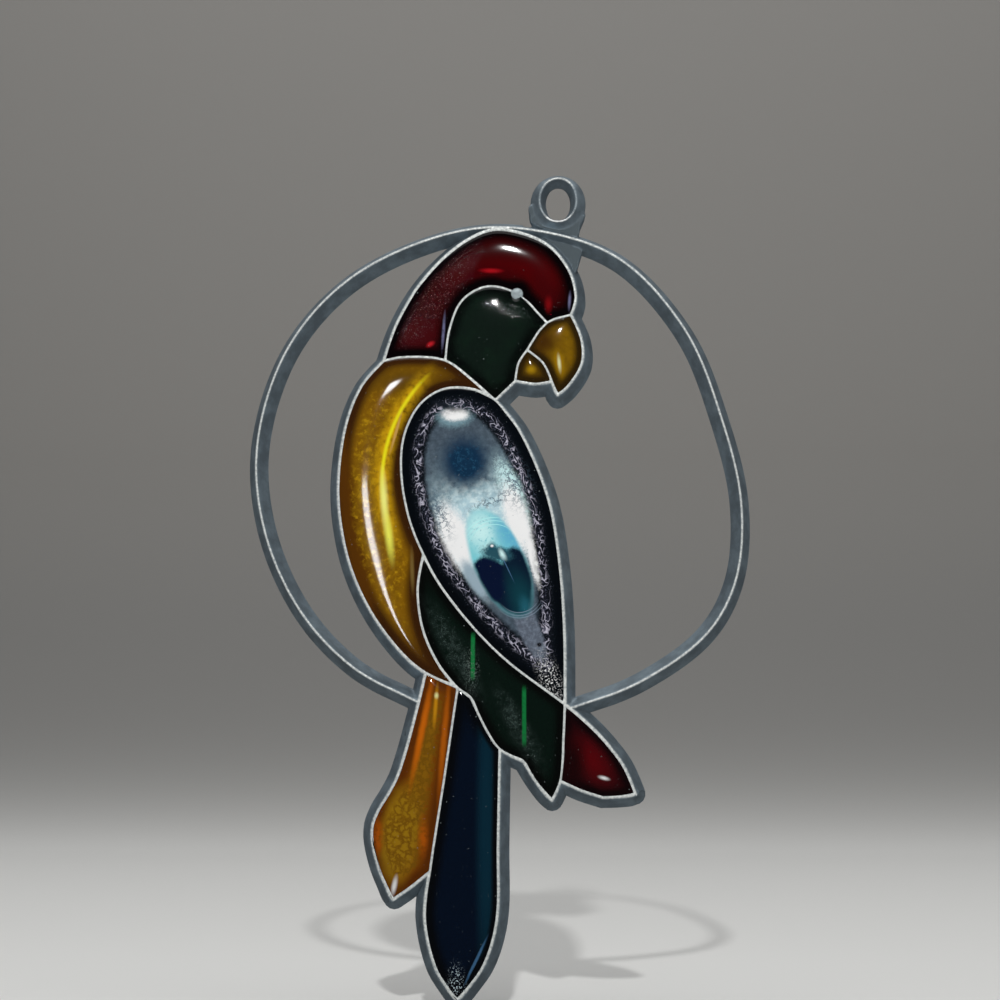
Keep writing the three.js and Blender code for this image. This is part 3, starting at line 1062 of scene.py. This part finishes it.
# %% The wing's milk
wing = Resin("wing_blue", "010306", "050a0e", border=3.0, clear=0.05)
inside = wing.frosted(wing.within(4.2, 6.8), 1.2, 0.8)
wing.paint("2e3740", inside)
wing.paint("404b55", inside, wing.clouds(0.9, 0.3, 0.8))
wing.paint("a0ccd4", wing.within(3.0, 5.0),
           wing.frosted(wing.spot(-11.6, -76.0, 2.6, 8.0, -24, 1.0), 2.4, 0.9))
middle = wing.both(inside, wing.spot(-19.5, -84.0, 12.0, 13.5, 8, 0.9, 0.6))
wing.paint("7c949c", middle, wing.clouds(0.5, 0.2, 0.7))
middle = wing.both(inside, wing.spot(-19.0, -86.4, 11.0, 11.0, 8, 0.9, 1.0))
wing.paint("88a0a8", wing.frosted(middle, 2.2, 0.4))
wing.paint("b0c4cc", middle, wing.clouds(0.8, 0.4, 0.7))
wing.paint("f8fffc", wing.within(3.2, 4.6),
           wing.frosted(wing.spot(-10.6, -82.4, 2.8, 8.4, -16, 0.9), 2.0, 0.9))
wing.paint("f4fcf8", wing.within(3.6, 5.4),
           wing.frosted(wing.spot(-25.8, -87.0, 3.4, 8.2, -20, 0.9), 2.0, 0.8))
wing.paint("e8f4f0", wing.frosted(wing.spot(-6.8, -92.0, 1.0, 7.0, -12, 0.9), 2.0, 0.9))
wing.paint("74848e", wing.frosted(wing.spot(-21.0, -97.6, 1.6, 5.0, -30, 1.0), 2.0, 0.5))

# %% [markdown]
# Thick resin crazes as it cures, so fine dark cracks cross the whites and the grey between them. They are
# crinkles again, kept to three soft spots. At the top a painted white highlight lies in a painted grey
# sheen, and one dark blue spot sits below it.

# %% The wing's cracks and painted top highlight
for x, z, half_width, half_height in ((-11.6, -72.6, 3.0, 6.4), (-29.8, -81.0, 2.2, 5.4),
                                      (-17.0, -78.4, 5.0, 1.2)):
    cracked = wing.both(wing.spot(x, z, half_width, half_height, -22, 0.9), wing.crinkles(0.6, 0.12, 2.4))
    wing.paint("3c4c58", cracked, wing.clouds(0.7, 0.15, 0.4))
# Painted highlight: a white glint in a grey sheen, where the key would shine on the wing.
wing.paint("587078", wing.frosted(wing.spot(-26.2, -56.6, 4.4, 2.8, 0, 1.0), 2.0, 0.6))
wing.paint("f8fcf0", wing.frosted(wing.spot(-25.9, -56.2, 3.2, 1.7, 0, 0.9, 0.6), 2.0, 0.6))
wing.paint("0a2034", wing.spot(-23.3, -68.4, 5.8, 6.2, 0, 0.5, 0.9))
wing.paint("16384e", wing.spot(-23.3, -68.4, 4.4, 4.8), wing.clouds(1.6, 0.5, 0.7))

# %% [markdown]
# The band inside the rim is a skin that has shrunk into worms, with dark gaps between them. Flecks on
# both sides of it break its edges, a dark spot breaks it at the top, and a grey haze fills the wing's
# lower tip.

# %% The wing's wrinkled band
skin = wing.band(3.8, 1.5, 0.8)
gaps = wing.clouds(0.6, 0.3, 0.5)
wing.paint("0a0c12", wing.band(3.8, 2.4, 0.8), wing.clouds(0.8, 0.25, 0.6))
wing.paint("4e5060", wing.band(3.8, 2.6, 0.8), wing.flecks(3.0, 0.52))
worms = wing.both(skin, wing.wrinkles(0.45, 0.34, 1.4, 4.0))
wing.paint("464556", worms, gaps)
wing.paint("96949f", skin, wing.wrinkles(0.45, 0.19, 1.4, 4.0), gaps)
wing.paint("0e1218", wing.spot(-28.6, -53.9, 2.6, 0.7, 20, 0.9))
tip_haze = wing.frosted(wing.spot(-8.2, -108.6, 2.5, 9.0, -24, 0.5, 0.4), 2.0, 0.5)
wing.paint("424852", tip_haze)
wing.paint("565e6a", tip_haze, wing.clouds(1.4, 0.4, 0.7))

# %% [markdown]
# The pool is a leaning oval of turquoise with fine rings. Its lower half is a dark patch of two blues
# with a notch at the top, so it looks like a heart. Each is a soft spot, and the pool's own mask keeps
# them inside it.

# %% The wing's pool
pool = wing.spot(-14.9, -93.3, 6.1, 14.0, -24, 0.1, 0.4)
wing.paint("5c9ca4", pool)
wing.paint("9cd8dc", pool, wing.spot(-19.4, -85.6, 3.2, 4.6, -20, 0.9, 1.5))
wing.paint("4886a0", pool, wing.spot(-11.8, -86.4, 2.8, 4.8, -30, 0.9, 1.5))
wing.paint("5898a0", pool, wing.spot(-16.5, -87.0, 6.0, 6.0), wing.clouds(1.6, 0.5, 0.75))
for radius in (6.6, 7.5, 8.3):
    wing.paint("8cc8cc", wing.arc(-16.2, -90.6, radius, 0.16), wing.spot(-18, -84, 6, 4, 0, 0.9), pool)
wing.paint("041020", pool, wing.spot(-13.0, -104.2, 11.0, 10.2, -21, 0.12, 0.9))
wing.paint("030a20", pool, wing.frosted(wing.spot(-17.6, -97.6, 4.8, 5.8, -10, 0.3, 1.3), 2.4, 0.6))
wing.paint("04101f", pool, wing.frosted(wing.spot(-10.4, -95.6, 3.7, 6.0, -10, 0.3, 1.3), 2.4, 0.6))
wing.paint("1c3c46", pool, wing.frosted(wing.spot(-15.4, -91.2, 3.6, 1.7, 12, 0.9, 1.0), 2.4, 0.9))
wing.paint("082a32", pool, wing.spot(-9.2, -102.8, 2.8, 6.4, -18, 0.8, 0.8))
wing.paint("164450", pool, wing.spot(-8.4, -104.6, 1.2, 2.4, -18, 1.0, 1.2))

# %% [markdown]
# The last marks are small: a scratch, a bubble with painted shade and a painted glint, a second painted
# glint, fine rings below the pool, a pinhole and the frost at the tip. The worms of the band are raised a
# little, so they catch the light too.

# %% The wing's small marks
wing.paint("34506c", wing.spot(-13.0, -94.6, 0.1, 3.2, -25, 0.6))
# The bubble's dark ring is painted shade; its glint and the one beside it are painted highlights.
wing.paint("123844", wing.spot(-16.7, -89.4, 0.9, 0.8, 0, 0.8, 1.4))
wing.paint("d8f0f0", wing.spot(-16.7, -89.3, 0.35, 0.3, 0, 0.6))
wing.paint("a0d4d4", wing.spot(-14.2, -91.4, 0.5, 1.1, -30, 1.0, 1.0))
for radius in (5.2, 5.9, 6.5):
    wing.paint("606e7c", wing.arc(-10.2, -100.4, radius, 0.15), wing.spot(-8.7, -105.9, 4, 2.5, 0, 0.9))
wing.paint("08080e", wing.spot(-5.3, -113.3, 0.55, 0.5, 0, 0.5))
wing.paint("f0f0f8", wing.spot(-3.0, -121.2, 2.0, 5.2, -18, 0.8), wing.flecks(2.6, 0.66))
wing.raise_by(0.8, worms)
wing.finish(cells["wing_resin"], "16222e")

# %% [markdown]
# ### Covert
# The long covert feather is nearly black green. A pale haze with frost in it drifts along it, and two
# upright streaks of clear green light are painted in. A bar mask has the straight sides that a soft spot
# lacks.

# %% Covert finish
covert = Resin("covert_green", "010201", "030d08", border=2.0, clear=0.2)
for x, z, length in ((-25.7, -114.7, 10.0), (-10.4, -133.0, 8.0)):
    hazy = covert.both(covert.spot(x, z, 2.0, length, -30, 0.8, 1.5), covert.clouds(0.7, 0.3, 0.7))
    covert.paint("202b28", hazy, strength=1.6)
    covert.paint("4c5a55", hazy, covert.flecks(4.5, 0.58), strength=1.6)
# Painted light: two upright streaks of green.
for x, z, length in ((-21.3, -116.0, 5.6), (-9.0, -130.3, 7.0)):
    covert.paint("0c5c2c", covert.bar(x, z, 0.55, length), covert.clouds(1.2, 0.1, 0.5))
covert.paint("66726e", covert.spot(-21.6, -119.6, 1.4, 4.6, 0, 0.9, 0.8), covert.flecks(4.0, 0.6),
             strength=1.6)
covert.finish(cells["covert_resin"], "030d08")

# %% [markdown]
# ### Red feather
# The feather at the right is the same deep red as the crown. It narrows to a point, so its dome is steep
# and only its middle has a painted glow, with one pale painted highlight towards the tip. It could share the
# crown's material, but a glow has its own place in each cell.

# %% Red feather finish
feather = Resin("feather_red", "080001", "240204", border=2.0, clear=0.2)
# A painted glow in the middle, and a painted highlight towards the tip.
feather.paint("400104", feather.spot(6.8, -140.6, 2.6, 5.0, -38, 0.9, 0.6))
feather.paint("120001", feather.spot(2.4, -141.6, 2.6, 6.4, 0, 0.9, 0.6))
feather.paint("f0e8e4", feather.spot(9.8, -144.8, 1.0, 0.35, 15, 0.9))
feather.finish(cells["red_feather_resin"], "240204")

# %% [markdown]
# ### Amber tail feather
# The short tail feather is amber that has crept into veins while it cured, most of all in its wide lower
# half. Two orange streaks run down the narrow part. The veins are crinkles, and they are raised a little
# too. A painted highlight in a painted glow sits at the top, and another painted highlight at the tip.

# %% Amber tail finish
amber = Resin("amber_tail", "4a2202", "623403", border=2.2)
amber.paint("6c4a08", amber.within(2.2, 3.2), amber.spot(-33.5, -142, 2.4, 22, 9, 0.5, 0.6))
amber.paint("785a0c", amber.spot(-38.4, -158, 4.2, 10.5, 6, 0.35, 1.0))
vein = amber.both(amber.within(1.8, 2.8), amber.crinkles(0.55, 0.26, 2.2))
amber.paint("5c3e06", vein, amber.clouds(0.4, 0.25, 0.5))
amber.paint("a45206", amber.spot(-33.4, -133.5, 0.7, 10.0, 11, 0.8, 0.4))
amber.paint("944a06", amber.spot(-28.2, -136.0, 0.6, 11.0, 5, 0.8, 0.4))
# Painted glow and highlight at the top, and a painted highlight at the lower tip.
amber.paint("a06e0c", amber.spot(-30.2, -128.0, 0.4, 4.0, 4, 0.8))
amber.paint("f4dc80", amber.spot(-30.0, -125.4, 0.4, 0.6, 0, 0.9))
amber.paint("f8f0dc", amber.spot(-39.6, -169.6, 0.5, 1.8, 12, 0.8))
for x in (-43.6, -32.9):
    amber.paint("8c4204", amber.spot(x, -158.5, 0.9, 3.2, 0, 1.0), amber.clouds(0.8, 0.2, 0.6))
amber.raise_by(0.4, vein)
amber.finish(cells["amber_tail_resin"], "623403")

# %% [markdown]
# ### Blue tail feather
# The long feather is a calm navy. Its dome mirrors one long band of light beside the right lead, which is
# laid in as colour so that it keeps its place. A short pale streak near the tip and pale specks in the very
# tip are painted reflections too.

# %% Blue tail finish
blue = Resin("blue_tail", "010204", "010714", border=2.4, clear=0.15)
blue.paint("031c28", blue.spot(-18.0, -157, 1.9, 34, 0, 0.7), blue.within(0.6, 1.6))
# Painted reflections: a short pale streak, then pale specks in the tip where the floor is mirrored.
blue.paint("2c4a66", blue.spot(-20.4, -186.5, 0.3, 5.0, 26, 0.5, 0.3), blue.within(0.4, 0.8))
blue.paint("a4b4be", blue.spot(-25.0, -192.4, 1.6, 4.0, 0, 0.8), blue.flecks(2.6, 0.62))
blue.finish(cells["blue_tail_resin"], "020a18")

# %% [markdown]
# ## The metal
# The casting is a soft grey metal with a blue tarnish on its slopes. Its crest is rubbed bright by handling,
# and where it faces the front it is painted paler still, as a painted highlight. All of that could be
# painted by hand on the mesh, but masks do it more evenly: one knows the depth below the crest, and one
# knows which way the metal faces. A slow noise unsettles both.

# %% Where the crest is rubbed and painted bright, and where the metal is flat
CREST_TOP = CREST / MM + 0.06
CREST_FOOT = CREST / MM + 0.34

metal = bpy.data.materials.new("tarnished_pewter")
metal.use_nodes = True
tree = metal.node_tree
shader = tree.nodes["Principled BSDF"]
place = place_in_mm(tree)
cast_grain = noise(tree, place, 1.6, 5.0)
depth_below_crest = calc(tree, "ADD", axes_of(tree, place)["Y"], calc(tree, "MULTIPLY", cast_grain, 0.3))
near_crest = fading(tree, depth_below_crest, CREST_TOP, CREST_FOOT)
normal = add(tree, "ShaderNodeTexCoord").outputs["Normal"]
facing_front = calc(tree, "MULTIPLY", axes_of(tree, normal)["Y"], -1.0)
crest_rub_and_sheen = calc(tree, "MULTIPLY", near_crest, eased(tree, facing_front, 0.45, 0.78))
below_crest = calc(tree, "SUBTRACT", 1.0, near_crest)
webs = calc(tree, "MULTIPLY", eased(tree, facing_front, 0.85, 0.97), below_crest)

# %% [markdown]
# The slopes are two greys in patches, and the flat webs between the leads are painted darker. The pale
# crest is painted dimmer on the sides of the hanging eye, a bright painted highlight sits on its foot, and
# the round pupil in the lead above the face is painted greyer than the crest round it, as shade on its
# rounded top.

# %% Metal colours
def metal_spot(x, z, half_width, half_height, softness):
    return place_group(tree, soft_spot, place=place, centre=(x, 0, z), half_width=half_width,
                       half_height=half_height, softness=softness)


patches = place_group(tree, clouding, place=place, fineness=0.22, low=0.35, high=0.7)
colour = over(tree, patches, tint("4c555b"), tint("5f6a71"))
colour = over(tree, webs, colour, tint("343c40"))
level = calc(tree, "ABSOLUTE", axes_of(tree, place)["Z"])
# The pale crest is painted dimmer on the sides of the hanging eye.
eye_side = calc(tree, "MULTIPLY", metal_spot(0, 0, 9.0, 9.0, 0.2), fading(tree, level, 2.5, 5.5))
crest_paint_share = calc(tree, "SUBTRACT", 1.0, calc(tree, "MULTIPLY", eye_side, 0.8))
# The crest's pale colour is rubbed metal, painted paler still as a painted highlight.
colour = over(tree, calc(tree, "MULTIPLY", crest_rub_and_sheen, crest_paint_share), colour, tint("989a97"))
# Painted shade: the rounded pupil is painted greyer than the crest round it.
colour = over(tree, metal_spot(-10.5, -24.9, 1.8, 1.8, 0.2), colour, tint("5e6668"))
# Painted highlight: a bright patch on the crest at the foot of the eye.
eye_foot_highlight = calc(tree, "MULTIPLY", metal_spot(-0.4, -5.4, 2.8, 1.5, 0.8), near_crest)
colour = over(tree, eye_foot_highlight, colour, tint("d4d8da"))

# %% [markdown]
# The same masks steer how metallic and how rough the shader is. The crest is a shade less metallic, so it
# stays pale from every side, and the webs are dull. The grain of the casting becomes a faint bump.

# %% Metal finish
CAST_BUMP = 0.05 * MM

metallic = calc(tree, "SUBTRACT", 0.6, calc(tree, "MULTIPLY", crest_rub_and_sheen, 0.2))
metallic = calc(tree, "SUBTRACT", metallic, calc(tree, "MULTIPLY", webs, 0.5))
roughness = calc(tree, "ADD", 0.38, calc(tree, "MULTIPLY", cast_grain, 0.15))
roughness = calc(tree, "ADD", roughness, calc(tree, "MULTIPLY", webs, 0.4))
bump = add(tree, "ShaderNodeBump", {"Height": cast_grain, "Distance": CAST_BUMP, "Strength": 0.5})
tree.links.new(colour, shader.inputs["Base Color"])
tree.links.new(metallic, shader.inputs["Metallic"])
tree.links.new(roughness, shader.inputs["Roughness"])
tree.links.new(bump.outputs[0], shader.inputs["Normal"])
casting.data.materials.clear()
casting.data.materials.append(metal)
print(metal.name, "uses", len(tree.nodes), "nodes")

# %% [markdown]
# ## Stage and light
# The object hangs upright, with the tip of its tail just above one long sheet of pale paper that runs
# along the floor and curves up behind it. A plane does for the floor. Its back edge is pulled up into a
# wall, and a bevel rounds the fold between them.

# %% Floor and backdrop
FLOOR = TAIL_TIP - 1.5 * MM
FLOOR_WIDTH = 9.0
FLOOR_FRONT = -5.0
FLOOR_BACK = 1.0
WALL_RISE = 1.6
FOLD = 0.35

bpy.ops.mesh.primitive_plane_add(size=1, location=(0, (FLOOR_FRONT + FLOOR_BACK) / 2, FLOOR))
stage = bpy.context.object
stage.name = "stage"
stage.scale = (FLOOR_WIDTH, FLOOR_BACK - FLOOR_FRONT, 1)
apply_place(stage)
edge_ends = np.array([edge.vertices[:] for edge in stage.data.edges])
at_back = (places_of(stage.data)[edge_ends, 1] > FLOOR_BACK - MM).all(axis=1)
edit_chosen(stage, at_back, "EDGE")
bpy.ops.mesh.extrude_region_move(TRANSFORM_OT_translate={"value": (0, 0, WALL_RISE)})
leave_edit()
apply_modifier(stage, "BEVEL", width=FOLD, segments=16, limit_method="ANGLE", angle_limit=math.radians(60))
bpy.ops.object.shade_smooth()
print("stage of", len(stage.data.polygons), "faces")

# %% [markdown]
# The paper is pale where it lies flat and much dimmer on the wall, where less light reaches it. The wall
# could be left to the lights alone, but a colour that falls off with the height keeps the floor pale and
# the wall calm whatever the lights do.

# %% Paper finish
FLOOR_GLOW = 0.032
WALL_LOW = FLOOR + 0.16
WALL_HIGH = FLOOR + 0.38
WALL_FOOT_GREY = (0.235, 0.23, 0.22, 1)
WALL_GREY = (0.285, 0.275, 0.26, 1)
FLOOR_WHITE = (0.78, 0.78, 0.76, 1)

paper = bpy.data.materials.new("plain_paper")
paper.use_nodes = True
tree = paper.node_tree
shader = tree.nodes["Principled BSDF"]
height = axes_of(tree, add(tree, "ShaderNodeTexCoord").outputs["Object"])["Z"]
wall = over(tree, eased(tree, height, WALL_LOW, WALL_HIGH), WALL_FOOT_GREY, WALL_GREY)
below_floor = calc(tree, "SUBTRACT", FLOOR, height)
near_floor = calc(tree, "EXPONENT", calc(tree, "DIVIDE", below_floor, FLOOR_GLOW))
tree.links.new(over(tree, near_floor, wall, FLOOR_WHITE), shader.inputs["Base Color"])
shader.inputs["Roughness"].default_value = 0.85
stage.data.materials.append(paper)
stage.visible_glossy = False
print(paper.name, "uses", len(tree.nodes), "nodes")

# %% [markdown]
# Resin is mostly seen by what it mirrors, so the lights are few and small. A helper makes an area light
# and turns it towards its aim. Another links a light to the pieces that it falls on, which a studio does
# with sheets of black card.

# %% Making a light
def area_light(name, place, aim, size, power, colour=(1, 1, 1)):
    bpy.ops.object.light_add(type="AREA", location=place)
    light = bpy.context.object
    light.name = name
    light.rotation_euler = (Vector(aim) - Vector(place)).to_track_quat("-Z", "Y").to_euler()
    light.data.shape = "RECTANGLE"
    light.data.size, light.data.size_y = size
    light.data.energy = power
    light.data.color = colour
    return light


def shine_only_on(light, pieces):
    catching = bpy.data.collections.new(light.name + "_catches")
    for piece in pieces:
        catching.objects.link(piece)
    light.light_linking.receiver_collection = catching


# %% [markdown]
# The key stands high in front and gives each small dome one glint. On the breast and the wing that glint
# would be in the wrong place, so they get a twin of the key that shines without mirroring. The breast
# then has a glint and a tall strip of its own, and a low bounce lifts the metal's lower slopes.

# %% Front lights
KEY_PLACE = (-0.01, -0.85, 0.47)
KEY_SIZE = (0.035, 0.05)
key = area_light("key", KEY_PLACE, MIDDLE, KEY_SIZE, 5.6)
broad_cells = [cells["breast_resin"], cells["wing_resin"]]
small_cells = [cell for cell in cells.values() if cell not in broad_cells]
shine_only_on(key, small_cells + [casting, stage])
soft_fill = area_light("soft_fill", KEY_PLACE, MIDDLE, KEY_SIZE, 5.6)
soft_fill.visible_glossy = False
soft_fill.visible_transmission = False
shine_only_on(soft_fill, broad_cells)
breast_glint = area_light("breast_glint", (-0.123, -0.52, 0.125), MIDDLE, (0.045, 0.03), 0.17)
breast_glint.visible_diffuse = False
breast_strip = area_light("breast_strip", (-0.158, -0.55, -0.055), MIDDLE, (0.04, 0.19), 0.6)
for light in (breast_glint, breast_strip):
    shine_only_on(light, [cells["breast_resin"]])
bounce = area_light("bounce", (0, -0.32, -0.185), (0, 0, -0.1), (0.4, 0.1), 0.4)
shine_only_on(bounce, [casting])
print("front lights:", key.name, soft_fill.name, breast_glint.name, breast_strip.name, bounce.name)

# %% [markdown]
# The flat back would be black without a light of its own. It stands almost straight behind, so it does
# not graze the leads' slopes, and it is kept out of every reflection. A wide lamp above washes the floor,
# and the air of the studio is a dim blue grey.

# %% Back light, floor and air
AIR_COLOUR = (0.5, 0.52, 0.55, 1)
AIR_STRENGTH = 0.13

back_fill = area_light("back_fill", (0.09, 0.8, 0.01), MIDDLE, (0.2, 0.2), 4.0)
back_fill.visible_glossy = False
back_fill.visible_transmission = False
shine_only_on(back_fill, [casting] + list(cells.values()))
area_light("floor_wash", (0, 0.1, 1.3), (0, 0.5, -0.1), (2.4, 1.4), 16)
world = bpy.data.worlds.new("studio_air")
bpy.context.scene.world = world
world.use_nodes = True
air = world.node_tree.nodes["Background"]
air.inputs["Color"].default_value = AIR_COLOUR
air.inputs["Strength"].default_value = AIR_STRENGTH
bpy.context.scene.view_settings.view_transform = "Standard"
